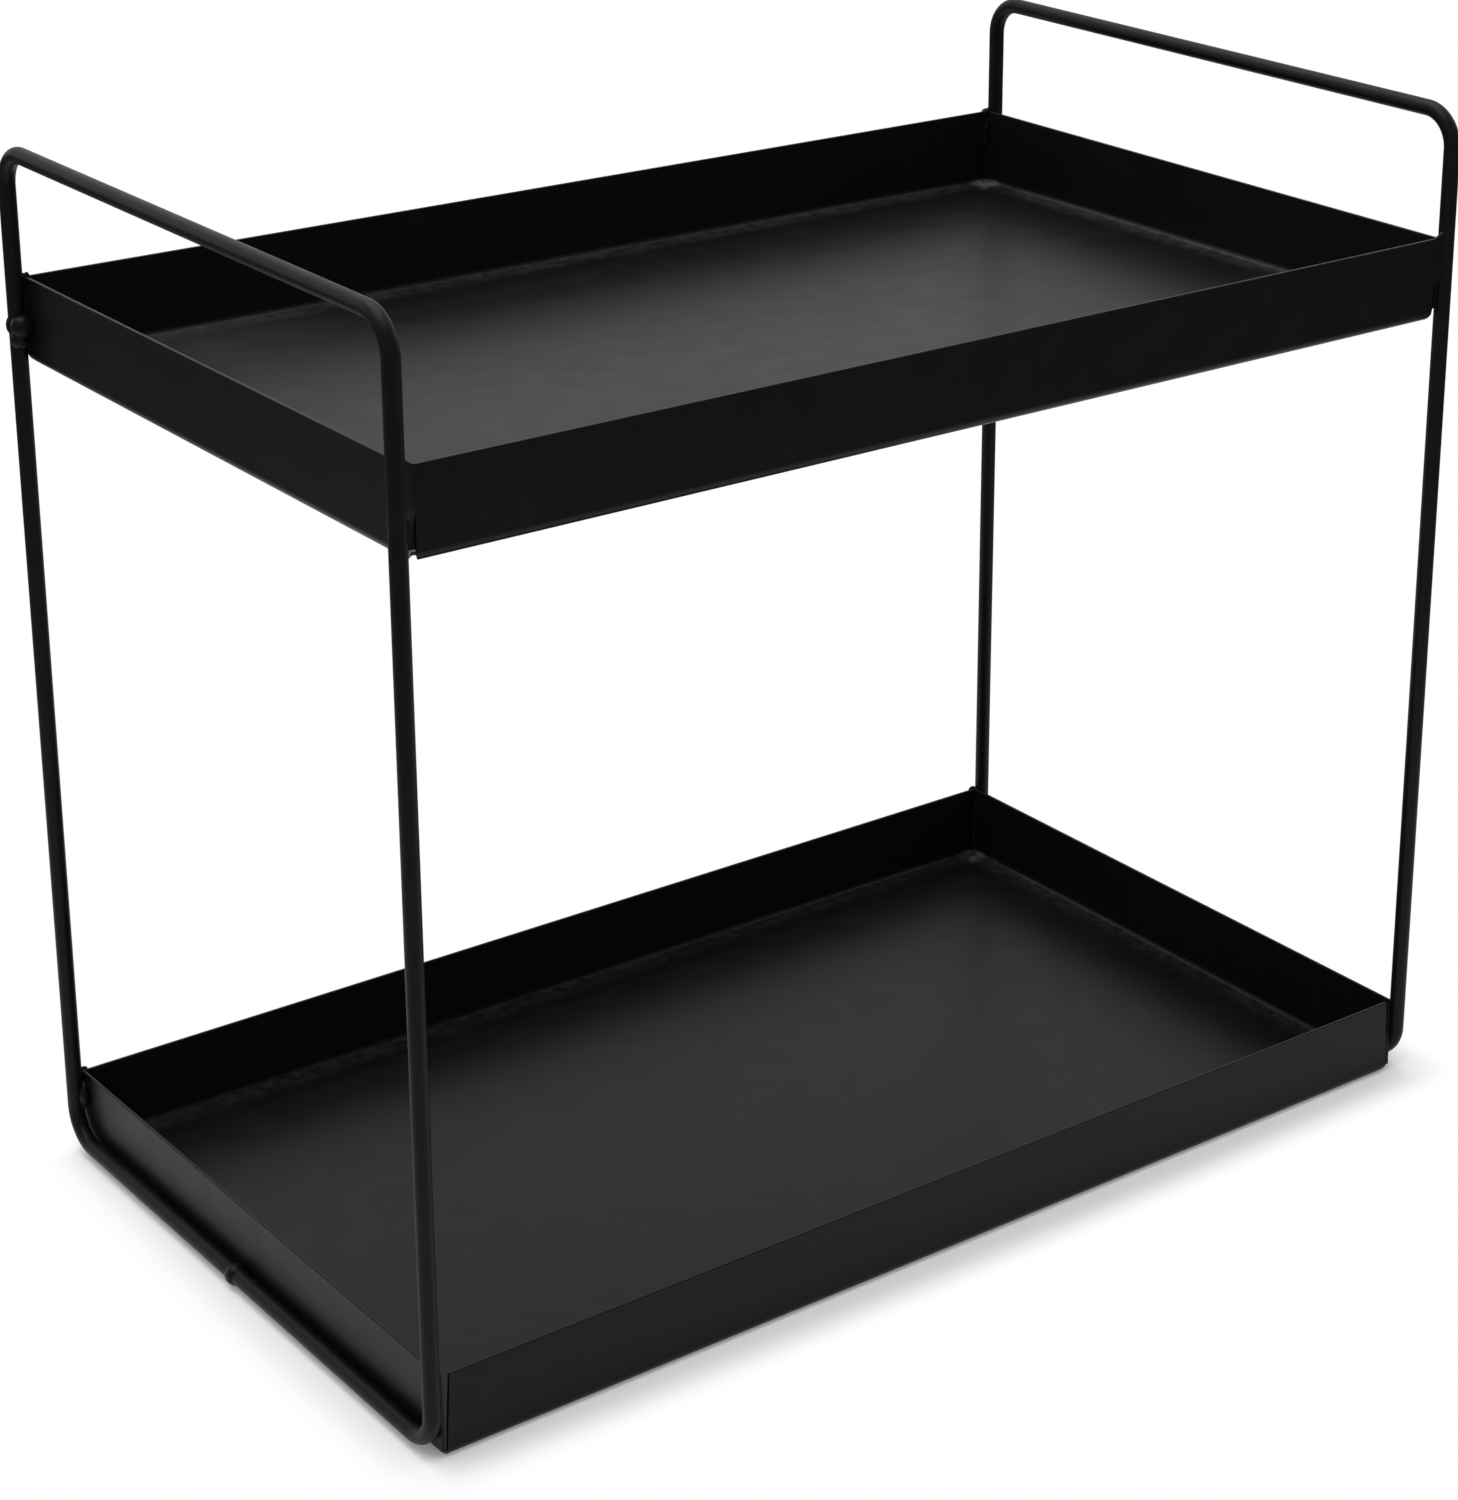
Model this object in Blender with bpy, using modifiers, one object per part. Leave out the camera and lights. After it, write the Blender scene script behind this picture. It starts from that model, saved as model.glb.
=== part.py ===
"""Two-tier kitchen rack: two folded steel trays held between two bent wire loops.

Metres, +Z up, +X along the trays' long side, +Y to the back. The origin lies on the table
under the middle of the rack, and the lower tray's underside rests on the table.
"""
import math
from collections import namedtuple

import bmesh
import bpy
from mathutils import Vector

# Trays: one folded sheet each, its four walls turned up from the floor
TRAY_LENGTH = 0.435
TRAY_DEPTH = 0.257
WALL_HEIGHT = 0.031
SHEET_THICKNESS = 0.0012
FOLD_RADIUS = 0.0025
TRAY_SPACING = 0.3085

# Corners of the sheet: each long wall stops short of the end wall, and in front the end wall stops
# short of the long wall's outer face too, above a round relief at the floor
RELIEF_RADIUS = 0.0035
UPPER_LONG_WALL_GAP_AT_RIM = 0.0020
UPPER_LONG_WALL_GAP_AT_FOLD = 0.0013
UPPER_END_WALL_GAP_AT_RIM = 0.0003
UPPER_END_WALL_GAP_AT_FOLD = 0.0004
LOWER_LONG_WALL_GAP_AT_RIM = 0.0024
LOWER_LONG_WALL_GAP_AT_FOLD = 0.0004
LOWER_END_WALL_GAP_AT_RIM = 0.0012
LOWER_END_WALL_GAP_AT_FOLD = 0.0003
BACK_GAP = 0.0004

# Wire loops: two posts, the handle above the upper tray and the bar beside the lower one
WIRE_DIAMETER = 0.006
HANDLE_RISE = 0.0455
BAR_LIFT = 0.0022
POST_INSET = 0.0005
WIRE_BEND = 0.013

# Welds: each is a ball drawn out to thickness, width and height, less the room of wire and tray.
# A shift moves its middle from the post's axis, to the tray's end wall and to the rack's middle.
# Its middle lies below the tray's rim by a share of the wall's height, or by a drop.
LAP_THICKNESS = 0.0108
LAP_WIDTH = 0.0126
LAP_HEIGHT = 0.012
LAP_SHIFT_TO_TRAY = 0.001
LAP_SHIFT_TO_MIDDLE = 0.002
LAP_DEPTH_SHARE = 0.62
FILLET_THICKNESS = 0.0048
FILLET_WIDTH = 0.0052
FILLET_HEIGHT = 0.0095
FILLET_SHIFT_TO_TRAY = 0.0022
FILLET_SHIFT_TO_MIDDLE = 0.0032
FILLET_DEPTH_SHARE = 0.3
CORNER_THICKNESS = 0.0082
CORNER_WIDTH = 0.0038
CORNER_SHIFT_TO_TRAY = 0.0032
CORNER_SHIFT_TO_MIDDLE = -0.0010
SEAM_HEIGHT_SHARE = 0.8
SEAM_DEPTH_SHARE = 0.4
TACK_HEIGHT = 0.0075
TACK_DROP = 0.0028
RIPPLE_PITCH = 0.0024
RIPPLE_SHARE = 0.035
COLLAR_DIAMETER = 0.0082
COLLAR_LENGTH = 0.0048
COLLAR_OFFSET = 0.0043

# Fits and cuts: a cutter through an end wall starts inside the wall by a margin, which is less
# than any gap of the long walls
CLEARANCE = 0.0003
OVERRUN = 0.002
INNER_MARGIN = 0.0002

# Fineness
FOLD_STEPS = 6
BEND_STEPS = 9
WIRE_FACETS = 4
BALL_SEGMENTS = 16
BALL_RINGS = 8
BEAD_SEGMENTS = 14
BEAD_RINGS = 16
ROUND_PROFILE = 0.5
SMOOTH_BELOW = math.radians(40)

# Worked out from the sizes above
LAP_DROP = WALL_HEIGHT * LAP_DEPTH_SHARE
FILLET_DROP = WALL_HEIGHT * FILLET_DEPTH_SHARE
SEAM_HEIGHT = WALL_HEIGHT * SEAM_HEIGHT_SHARE
SEAM_DROP = WALL_HEIGHT * SEAM_DEPTH_SHARE
HALF_LENGTH = TRAY_LENGTH / 2
HALF_DEPTH = TRAY_DEPTH / 2
OUTER_FOLD = FOLD_RADIUS + SHEET_THICKNESS
WIRE_RADIUS = WIRE_DIAMETER / 2
UPPER_RIM = TRAY_SPACING + WALL_HEIGHT
LOOP_X = HALF_LENGTH + CLEARANCE + WIRE_RADIUS
POST_Y = HALF_DEPTH - POST_INSET
HANDLE_Z = UPPER_RIM + HANDLE_RISE
BAR_Z = BAR_LIFT + WIRE_RADIUS

SIDES = {"left": -1, "right": 1}
ENDS = {"front": -1, "back": 1}
RIMS = {"lower": WALL_HEIGHT, "upper": UPPER_RIM}

# Gaps at each tray's corners, as (at the rim, at the fold), by the end that they are at
LONG_WALL_GAPS = {
    "lower": {
        "front": (LOWER_LONG_WALL_GAP_AT_RIM, LOWER_LONG_WALL_GAP_AT_FOLD),
        "back": (BACK_GAP, BACK_GAP),
    },
    "upper": {
        "front": (UPPER_LONG_WALL_GAP_AT_RIM, UPPER_LONG_WALL_GAP_AT_FOLD),
        "back": (BACK_GAP, BACK_GAP),
    },
}
END_WALL_GAPS = {
    "lower": (LOWER_END_WALL_GAP_AT_RIM, LOWER_END_WALL_GAP_AT_FOLD),
    "upper": (UPPER_END_WALL_GAP_AT_RIM, UPPER_END_WALL_GAP_AT_FOLD),
}

# The kinds of weld, and where each is used: by tier and end, then by the last part of its name
Weld = namedtuple("Weld", "thickness width height to_tray to_middle drop")
LAP = Weld(
    LAP_THICKNESS, LAP_WIDTH, LAP_HEIGHT,
    LAP_SHIFT_TO_TRAY, LAP_SHIFT_TO_MIDDLE, LAP_DROP,
)
FILLET = Weld(
    FILLET_THICKNESS, FILLET_WIDTH, FILLET_HEIGHT,
    FILLET_SHIFT_TO_TRAY, FILLET_SHIFT_TO_MIDDLE, FILLET_DROP,
)
SEAM = Weld(
    CORNER_THICKNESS, CORNER_WIDTH, SEAM_HEIGHT,
    CORNER_SHIFT_TO_TRAY, CORNER_SHIFT_TO_MIDDLE, SEAM_DROP,
)
TACK = Weld(
    CORNER_THICKNESS, CORNER_WIDTH, TACK_HEIGHT,
    CORNER_SHIFT_TO_TRAY, CORNER_SHIFT_TO_MIDDLE, TACK_DROP,
)
WELDS = {
    ("lower", "front"): {"weld": FILLET},
    ("lower", "back"): {"weld": FILLET, "corner_weld": TACK},
    ("upper", "front"): {"weld": FILLET, "corner_weld": SEAM},
    ("upper", "back"): {"weld": LAP, "corner_weld": TACK},
}
BLACK = (0.012, 0.012, 0.0125, 1)
SHEET_ROUGHNESS = 0.42
WIRE_ROUGHNESS = 0.36
WELD_ROUGHNESS = 0.45


def clear_scene():
    for obj in list(bpy.data.objects):
        bpy.data.objects.remove(obj, do_unlink=True)


def new_collection(name, helper=False):
    collection = bpy.data.collections.new(name)
    bpy.context.scene.collection.children.link(collection)
    collection.hide_render = helper
    return collection


def paint(obj, roughness):
    """Gives the piece its own coat of black paint."""
    material = bpy.data.materials.new(obj.name + "_paint")
    material.use_nodes = True
    shader = material.node_tree.nodes["Principled BSDF"]
    shader.inputs["Base Color"].default_value = BLACK
    shader.inputs["Roughness"].default_value = roughness
    shader.inputs["Metallic"].default_value = 0
    material.diffuse_color = BLACK
    obj.data.materials.append(material)


def mesh_object(name, shape, collection, location=(0, 0, 0)):
    mesh = bpy.data.meshes.new(name)
    shape.to_mesh(mesh)
    shape.free()
    obj = bpy.data.objects.new(name, mesh)
    obj.location = location
    collection.objects.link(obj)
    return obj


def make_cutter(obj):
    obj.hide_render = True
    obj.display_type = "WIRE"
    return obj


def cut(obj, cutter):
    boolean = obj.modifiers.new("Cut by " + cutter.name, "BOOLEAN")
    boolean.operation = "DIFFERENCE"
    boolean.solver = "EXACT"
    boolean.object = cutter


def block(shape, size, centre=(0, 0, 0)):
    """Adds a box to the shape and returns its vertices."""
    verts = bmesh.ops.create_cube(shape, size=1)["verts"]
    bmesh.ops.scale(shape, vec=size, verts=verts)
    bmesh.ops.translate(shape, vec=centre, verts=verts)
    return verts


def tapered_block(shape, size, centre, axis, start, face, gaps):
    """Adds a block that ends past a wall's face, inwards along the axis, by a gap for each height."""
    verts = block(shape, size, centre)
    direction = math.copysign(1, centre[axis])
    at_rim, at_fold = gaps
    for vert in verts:
        gap = at_rim if vert.co.z > centre.z else at_fold
        outer = direction * (vert.co[axis] - centre[axis]) > 0
        vert.co[axis] = direction * (start if outer else face - gap)


def long_wall_slits(name, collection, base, gaps):
    """Four tapered cutters, each through a long wall's end, just inside the end wall."""
    shape = bmesh.new()
    inner_face = HALF_LENGTH - SHEET_THICKNESS
    size = (SHEET_THICKNESS, SHEET_THICKNESS + 2 * OVERRUN, WALL_HEIGHT + 2 * OVERRUN)
    for side in SIDES.values():
        for end_name, end in ENDS.items():
            centre = Vector((side * inner_face, end * (HALF_DEPTH - SHEET_THICKNESS / 2), WALL_HEIGHT / 2))
            tapered_block(shape, size, centre, 0, inner_face, inner_face, gaps[end_name])
    return make_cutter(mesh_object(name, shape, collection, (0, 0, base)))


def end_wall_slits(name, collection, base, gaps):
    """Two tapered cutters, each through an end wall's front edge."""
    shape = bmesh.new()
    width = INNER_MARGIN + SHEET_THICKNESS + OVERRUN
    middle = HALF_LENGTH + OVERRUN - width / 2
    size = (width, OVERRUN, WALL_HEIGHT + 2 * OVERRUN)
    for side in SIDES.values():
        centre = Vector((side * middle, ENDS["front"] * HALF_DEPTH, WALL_HEIGHT / 2))
        tapered_block(shape, size, centre, 1, HALF_DEPTH + OVERRUN, HALF_DEPTH, gaps)
    return make_cutter(mesh_object(name, shape, collection, (0, 0, base)))


def front_reliefs(name, collection, base):
    """Two balls that open the floor's front corners, as round holes in the flat sheet do."""
    shape = bmesh.new()
    for side in SIDES.values():
        ball = bmesh.ops.create_uvsphere(
            shape, u_segments=BALL_SEGMENTS, v_segments=BALL_RINGS, radius=RELIEF_RADIUS
        )
        place = (side * HALF_LENGTH, ENDS["front"] * HALF_DEPTH, 0)
        bmesh.ops.translate(shape, vec=place, verts=ball["verts"])
    return make_cutter(mesh_object(name, shape, collection, (0, 0, base)))


def folded_tray(tier, parts, cutters):
    """An open box of sheet with round folds along the floor, slit at its corners."""
    name = tier + "_tray"
    base = RIMS[tier] - WALL_HEIGHT
    shape = bmesh.new()
    block(shape, (TRAY_LENGTH, TRAY_DEPTH, WALL_HEIGHT), (0, 0, WALL_HEIGHT / 2))
    top = max(shape.faces, key=lambda face: face.calc_center_median().z)
    bmesh.ops.delete(shape, geom=[top], context="FACES_ONLY")
    folds = [edge for edge in shape.edges if all(vert.co.z < WALL_HEIGHT / 2 for vert in edge.verts)]
    bmesh.ops.bevel(
        shape, geom=folds, offset=OUTER_FOLD, offset_type="OFFSET", segments=FOLD_STEPS,
        profile=ROUND_PROFILE, affect="EDGES",
    )
    tray = mesh_object(name, shape, parts, (0, 0, base))
    sheet = tray.modifiers.new("Sheet", "SOLIDIFY")
    sheet.thickness = SHEET_THICKNESS
    sheet.offset = -1
    sheet.use_even_offset = True
    cut(tray, long_wall_slits(name + "_long_wall_slits", cutters, base, LONG_WALL_GAPS[tier]))
    cut(tray, end_wall_slits(name + "_end_wall_slits", cutters, base, END_WALL_GAPS[tier]))
    cut(tray, front_reliefs(name + "_reliefs", cutters, base))
    paint(tray, SHEET_ROUGHNESS)
    return tray


def loop_path():
    """The wire's axis in the loop's own plane, as (y, z), anticlockwise from the back post's top."""
    bends = (
        (1, HANDLE_Z - WIRE_BEND),
        (-1, HANDLE_Z - WIRE_BEND),
        (-1, BAR_Z + WIRE_BEND),
        (1, BAR_Z + WIRE_BEND),
    )
    path = []
    for turn, (end, middle_z) in enumerate(bends):
        middle_y = end * (POST_Y - WIRE_BEND)
        for step in range(BEND_STEPS + 1):
            angle = (turn + step / BEND_STEPS) * math.pi / 2
            y = middle_y + WIRE_BEND * math.cos(angle)
            path.append((y, middle_z + WIRE_BEND * math.sin(angle)))
    return path


def wire_loop(name, collection, side, radius):
    curve = bpy.data.curves.new(name, "CURVE")
    curve.dimensions = "3D"
    curve.bevel_depth = radius
    curve.bevel_resolution = WIRE_FACETS
    path = loop_path()
    spline = curve.splines.new("POLY")
    spline.points.add(len(path) - 1)
    for point, (y, z) in zip(spline.points, path):
        point.co = (0, y, z, 1)
    spline.use_cyclic_u = True
    loop = bpy.data.objects.new(name, curve)
    loop.location = (side * LOOP_X, 0, 0)
    collection.objects.link(loop)
    return loop


def wire_space(name, cutters, side):
    """The room that a loop and its clearance take, as a mesh that can cut."""
    curve = wire_loop(name + "_guide", cutters, side, WIRE_RADIUS + CLEARANCE)
    bpy.context.view_layer.update()
    graph = bpy.context.evaluated_depsgraph_get()
    mesh = bpy.data.meshes.new_from_object(curve.evaluated_get(graph))
    space = bpy.data.objects.new(name, mesh)
    space.matrix_world = curve.matrix_world
    cutters.objects.link(space)
    bpy.data.objects.remove(curve, do_unlink=True)
    return make_cutter(space)


def tray_space(cutters):
    """The room that the trays and their clearance take, as one tall block."""
    shape = bmesh.new()
    height = UPPER_RIM + 2 * OVERRUN
    size = (TRAY_LENGTH + 2 * CLEARANCE, TRAY_DEPTH + 2 * CLEARANCE, height)
    block(shape, size, (0, 0, UPPER_RIM / 2))
    return make_cutter(mesh_object("tray_space", shape, cutters))


def bead_shape(size, ripple_axis):
    """A ball drawn out to the weld's size, with ripples across one axis."""
    shape = bmesh.new()
    bmesh.ops.create_uvsphere(shape, u_segments=BEAD_SEGMENTS, v_segments=BEAD_RINGS, radius=1)
    bmesh.ops.scale(shape, vec=Vector(size) / 2, verts=shape.verts)
    for vert in shape.verts:
        swell = 1 + RIPPLE_SHARE * math.cos(2 * math.pi * vert.co[ripple_axis] / RIPPLE_PITCH)
        for axis in range(3):
            if axis != ripple_axis:
                vert.co[axis] *= swell
    return shape


def post_weld(name, parts, side, end, rim, kind, spaces):
    """A weld between a post and a tray, at the given end and height of the rim."""
    size = (kind.thickness, kind.width, kind.height)
    place = (side * (LOOP_X - kind.to_tray), end * (POST_Y - kind.to_middle), rim - kind.drop)
    bead = mesh_object(name, bead_shape(size, ripple_axis=2), parts, place)
    for space in spaces:
        cut(bead, space)
    paint(bead, WELD_ROUGHNESS)
    return bead


def loop_collar(name, parts, side, spaces):
    """The raised butt weld where the two ends of a loop's wire meet, midway along its bar."""
    size = (COLLAR_DIAMETER, COLLAR_LENGTH, COLLAR_DIAMETER)
    place = (side * LOOP_X, COLLAR_OFFSET, BAR_Z)
    collar = mesh_object(name, bead_shape(size, ripple_axis=1), parts, place)
    for space in spaces:
        cut(collar, space)
    paint(collar, WELD_ROUGHNESS)
    return collar


def build_rack():
    clear_scene()
    parts = new_collection("two_tier_kitchen_rack")
    cutters = new_collection("cutters", helper=True)
    pieces = [folded_tray(tier, parts, cutters) for tier in RIMS]
    trays_room = tray_space(cutters)
    for side_name, side in SIDES.items():
        loop = wire_loop(side_name + "_wire_loop", parts, side, WIRE_RADIUS)
        paint(loop, WIRE_ROUGHNESS)
        spaces = (wire_space(side_name + "_wire_space", cutters, side), trays_room)
        pieces += [loop, loop_collar(side_name + "_butt_weld", parts, side, spaces)]
        for (tier, end_name), kinds in WELDS.items():
            for last_part, kind in kinds.items():
                name = f"{tier}_{side_name}_{end_name}_{last_part}"
                pieces.append(
                    post_weld(name, parts, side, ENDS[end_name], RIMS[tier], kind, spaces)
                )
    stand = bpy.data.objects.new("rack_origin", None)
    parts.objects.link(stand)
    for piece in pieces:
        piece.parent = stand
        if piece.type == "MESH":
            piece.data.shade_smooth()
            piece.data.set_sharp_from_angle(angle=SMOOTH_BELOW)


build_rack()
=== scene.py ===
"""Two-tier kitchen rack: finer trays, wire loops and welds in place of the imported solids, and a pale
studio."""
import math
from collections import namedtuple

import bpy
from bpy.props import FloatProperty, FloatVectorProperty, IntProperty, PointerProperty
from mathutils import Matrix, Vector


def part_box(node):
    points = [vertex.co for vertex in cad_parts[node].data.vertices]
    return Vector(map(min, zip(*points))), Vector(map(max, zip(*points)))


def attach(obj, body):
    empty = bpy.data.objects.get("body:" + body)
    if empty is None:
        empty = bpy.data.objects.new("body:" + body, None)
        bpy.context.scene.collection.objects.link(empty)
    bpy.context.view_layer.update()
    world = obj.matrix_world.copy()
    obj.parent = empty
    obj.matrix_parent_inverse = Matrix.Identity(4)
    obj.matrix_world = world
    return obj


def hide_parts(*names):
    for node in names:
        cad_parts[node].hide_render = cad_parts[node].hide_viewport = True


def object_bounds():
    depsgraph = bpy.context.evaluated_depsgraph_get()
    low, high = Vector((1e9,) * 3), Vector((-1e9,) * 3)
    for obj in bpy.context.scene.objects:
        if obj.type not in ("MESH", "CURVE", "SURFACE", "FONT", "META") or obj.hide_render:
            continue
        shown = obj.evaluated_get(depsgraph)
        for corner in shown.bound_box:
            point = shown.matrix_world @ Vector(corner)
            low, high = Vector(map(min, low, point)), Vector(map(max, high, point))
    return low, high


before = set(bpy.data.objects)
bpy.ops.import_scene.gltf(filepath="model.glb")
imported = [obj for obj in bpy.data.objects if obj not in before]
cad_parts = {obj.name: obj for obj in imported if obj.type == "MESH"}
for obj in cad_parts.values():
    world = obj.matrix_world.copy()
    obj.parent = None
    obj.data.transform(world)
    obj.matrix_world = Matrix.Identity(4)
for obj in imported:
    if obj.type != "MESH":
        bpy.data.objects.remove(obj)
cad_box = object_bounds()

bl_info = {
    "name": "Two-Tier Kitchen Rack",
    "version": (1, 0, 0),
    "blender": (4, 5, 0),
    "location": "3D View > Sidebar > Rack",
    "description": "Builds a two-tier rack of folded sheet trays and bent wire, and its studio",
    "category": "Object",
}

# Each kind of bead: its coins, how far they overlap, how much it narrows to its ends, how its coins
# lean, and how often it is smoothed
Bead = namedtuple("Bead", "coins overlap taper lean smoothing")
POST_BEAD = Bead(4, 1.9, 0.6, math.radians(12), 9)
CORNER_BEAD = Bead(3, 1.6, 0.5, math.radians(10), 7)

# The heavy weld at the upper back: each nodule's place from the post's axis, outwards from the
# tray's side, outwards along its depth, and up, and its half sizes the same way
NODULES = (
    ((-0.0003, -0.0032, 0.0026), (0.0042, 0.0041, 0.0042)),
    ((0.0006, -0.0024, -0.0020), (0.0032, 0.0034, 0.0038)),
    ((0.0016, 0.0013, 0.0022), (0.0020, 0.0020, 0.0036)),
)
NODULE_SMOOTHING = 40

# The spots of weld metal down the inside of the upper back corners: depth below the rim, radius, and
# how far along the back wall. A spot's half sizes are shares of its radius.
INNER_SPOTS = (
    (0.0006, 0.0012, 0), (0.0048, 0.0010, 0.0002), (0.0078, 0.0014, 0.0008),
    (0.0105, 0.0011, 0.0006), (0.0132, 0.0012, 0.0014), (0.0165, 0.0008, 0.0002),
)
SPOT_SHARES = Vector((1, 0.7, 1.9))

# A butt weld: its thicker core as a share of its reach, how the core leans, and how often the weld is
# smoothed
CORE_SHARE = 1 / 3
CORE_LEAN = math.radians(12)
BUTT_SMOOTHING = 6

# How steeply a long fillet falls away: from the post, at its far edge, and above the rim
HOLLOW_POWER = 3
RUN_OUT_POWER = 4
PEAK_POWER = 2

# Fineness: segments and rings of a ball, and faces across a rounded edge
COIN_BALL = (24, 12)
LARGE_BALL = (32, 16)
RIM_STEPS = 3
SLOT_STEPS = 4

# The rounding of a slot's edges, as a share of its width
SLOT_ROUND_SHARE = 1 / 3

# Points of the wire closer than this share of its radius become one
MERGE_SHARE = 0.01

# Edges sharper than these stay sharp, on sheet and wire, and on welds
STEEL_CREASE = math.radians(35)
WELD_CREASE = math.radians(60)

# The coat's grain and clouds: the noise's detail, and the levels between which the clouds turn dull,
# and worn
GRAIN_DETAIL = 2
CLOUD_DETAIL = 3
DULL_LEVELS = (0.3, 0.7)
WORN_LEVELS = (0.45, 0.75)

# The patches in the painted fold highlight and the pale corner spots: their detail, the levels that
# they turn between, and how far they weaken and strengthen them
PATCH_DETAIL = 4
PATCH_LEVELS = (0.35, 0.65)
PATCH_STRENGTHS = (0.35, 1.3)

# Where the haze of painted light fades, in reaches from the tray's side and from its back
HAZE_FADE_ALONG = (0.5, 1.5)
HAZE_FADE_BACK = (1.1, 0.2)

# The colour sockets of a Mix node, which lie behind those for numbers and vectors
MIX_FIRST, MIX_SECOND, MIX_RESULT = 6, 7, 2

# The table's width in metres, the camera's film in millimetres, and how near and far it sees
TABLE_SIZE = 12
SENSOR_WIDTH = 36
CLIP_NEAR, CLIP_FAR = 0.05, 50

X_AXIS, Y_AXIS = 0, 1

SIDES = {"left": -1, "right": 1}
ENDS = {"front": -1, "back": 1}
TIERS = ("lower", "upper")


# Modelling steps


def deselect_all():
    bpy.ops.object.select_all(action="DESELECT")


def make_active(obj):
    deselect_all()
    obj.select_set(True)
    bpy.context.view_layer.objects.active = obj


def keep_place_in_mesh(obj):
    make_active(obj)
    bpy.ops.object.transform_apply(location=True, rotation=True, scale=True)


def pick(obj, kind, wanted):
    """Selects the edges or faces whose ends pass a test, and enters edit mode."""
    make_active(obj)
    bpy.ops.object.mode_set(mode="EDIT")
    bpy.ops.mesh.select_mode(type=kind)
    bpy.ops.mesh.select_all(action="DESELECT")
    bpy.ops.object.mode_set(mode="OBJECT")
    mesh = obj.data
    for item in {"EDGE": mesh.edges, "FACE": mesh.polygons}[kind]:
        item.select = wanted([mesh.vertices[i].co for i in item.vertices])
    bpy.ops.object.mode_set(mode="EDIT")


def end_edit():
    bpy.ops.object.mode_set(mode="OBJECT")


def add_block(name, size, middle, turn=0):
    bpy.ops.mesh.primitive_cube_add(size=1, location=middle, scale=size, rotation=(0, 0, turn))
    block = bpy.context.active_object
    block.name = name
    keep_place_in_mesh(block)
    return block


def add_ball(name, half_sizes, middle, fineness, lean=0):
    segments, rings = fineness
    bpy.ops.mesh.primitive_uv_sphere_add(
        segments=segments, ring_count=rings, radius=1, location=middle, scale=half_sizes,
        rotation=(lean, 0, 0),
    )
    ball = bpy.context.active_object
    ball.name = name
    keep_place_in_mesh(ball)
    return ball


def join_pieces(pieces, name):
    make_active(pieces[0])
    for piece in pieces:
        piece.select_set(True)
    bpy.ops.object.join()
    joined = bpy.context.active_object
    joined.name = name
    joined.data.name = name
    return joined


def apply_modifier(obj, kind, **settings):
    make_active(obj)
    modifier = obj.modifiers.new(kind.title(), kind)
    for key, value in settings.items():
        setattr(modifier, key, value)
    bpy.ops.object.modifier_apply(modifier=modifier.name)


def cut_away(obj, cutter):
    apply_modifier(obj, "BOOLEAN", operation="DIFFERENCE", solver="EXACT", object=cutter)
    bpy.data.objects.remove(cutter, do_unlink=True)


def finish_piece(obj, material, replaced, crease):
    """Gives a modelled piece its finish, and lets it take the place of its solid."""
    make_active(obj)
    bpy.ops.object.shade_smooth_by_angle(angle=crease)
    obj.data.materials.clear()
    obj.data.materials.append(material)
    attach(obj, "root")
    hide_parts(*replaced)


# Finishes


def ramp(nodes, links, value, start, end, low, high):
    """A smooth step from one level to another between two values."""
    step = nodes.new("ShaderNodeMapRange")
    step.interpolation_type = "SMOOTHSTEP"
    step.inputs["From Min"].default_value = start
    step.inputs["From Max"].default_value = end
    step.inputs["To Min"].default_value = low
    step.inputs["To Max"].default_value = high
    links.new(value, step.inputs["Value"])
    return step.outputs["Result"]


def feed(links, socket, value):
    """Gives a socket a constant, or a node's output."""
    if isinstance(value, bpy.types.NodeSocket):
        links.new(value, socket)
    else:
        socket.default_value = value


def compute(nodes, links, operation, first, second):
    """Adds, multiplies or compares two numbers, each a constant or from a node."""
    step = nodes.new("ShaderNodeMath")
    step.operation = operation
    feed(links, step.inputs[0], first)
    feed(links, step.inputs[1], second)
    return step.outputs["Value"]


def vector_step(nodes, links, operation, first, second=(0, 0, 0)):
    """One step of sums on vectors, each a constant or from a node."""
    step = nodes.new("ShaderNodeVectorMath")
    step.operation = operation
    feed(links, step.inputs[0], first)
    feed(links, step.inputs[1], second)
    return step.outputs["Value" if operation in ("LENGTH", "DOT_PRODUCT") else "Vector"]


def split(nodes, links, vector):
    """A vector's numbers along each axis."""
    axes = nodes.new("ShaderNodeSeparateXYZ")
    links.new(vector, axes.inputs[0])
    return axes.outputs


def patches(nodes, links, place, size, detail):
    """Cloudy noise with patches of a given size."""
    noise = nodes.new("ShaderNodeTexNoise")
    noise.inputs["Scale"].default_value = 1 / size
    noise.inputs["Detail"].default_value = detail
    links.new(place, noise.inputs["Vector"])
    return noise.outputs["Fac"]


def past_box(nodes, links, place, half_x, half_y):
    """How far a point lies past a rectangle round the middle, along each axis."""
    positive = vector_step(nodes, links, "ABSOLUTE", place)
    return vector_step(nodes, links, "SUBTRACT", positive, (half_x, half_y, 0))


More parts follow.
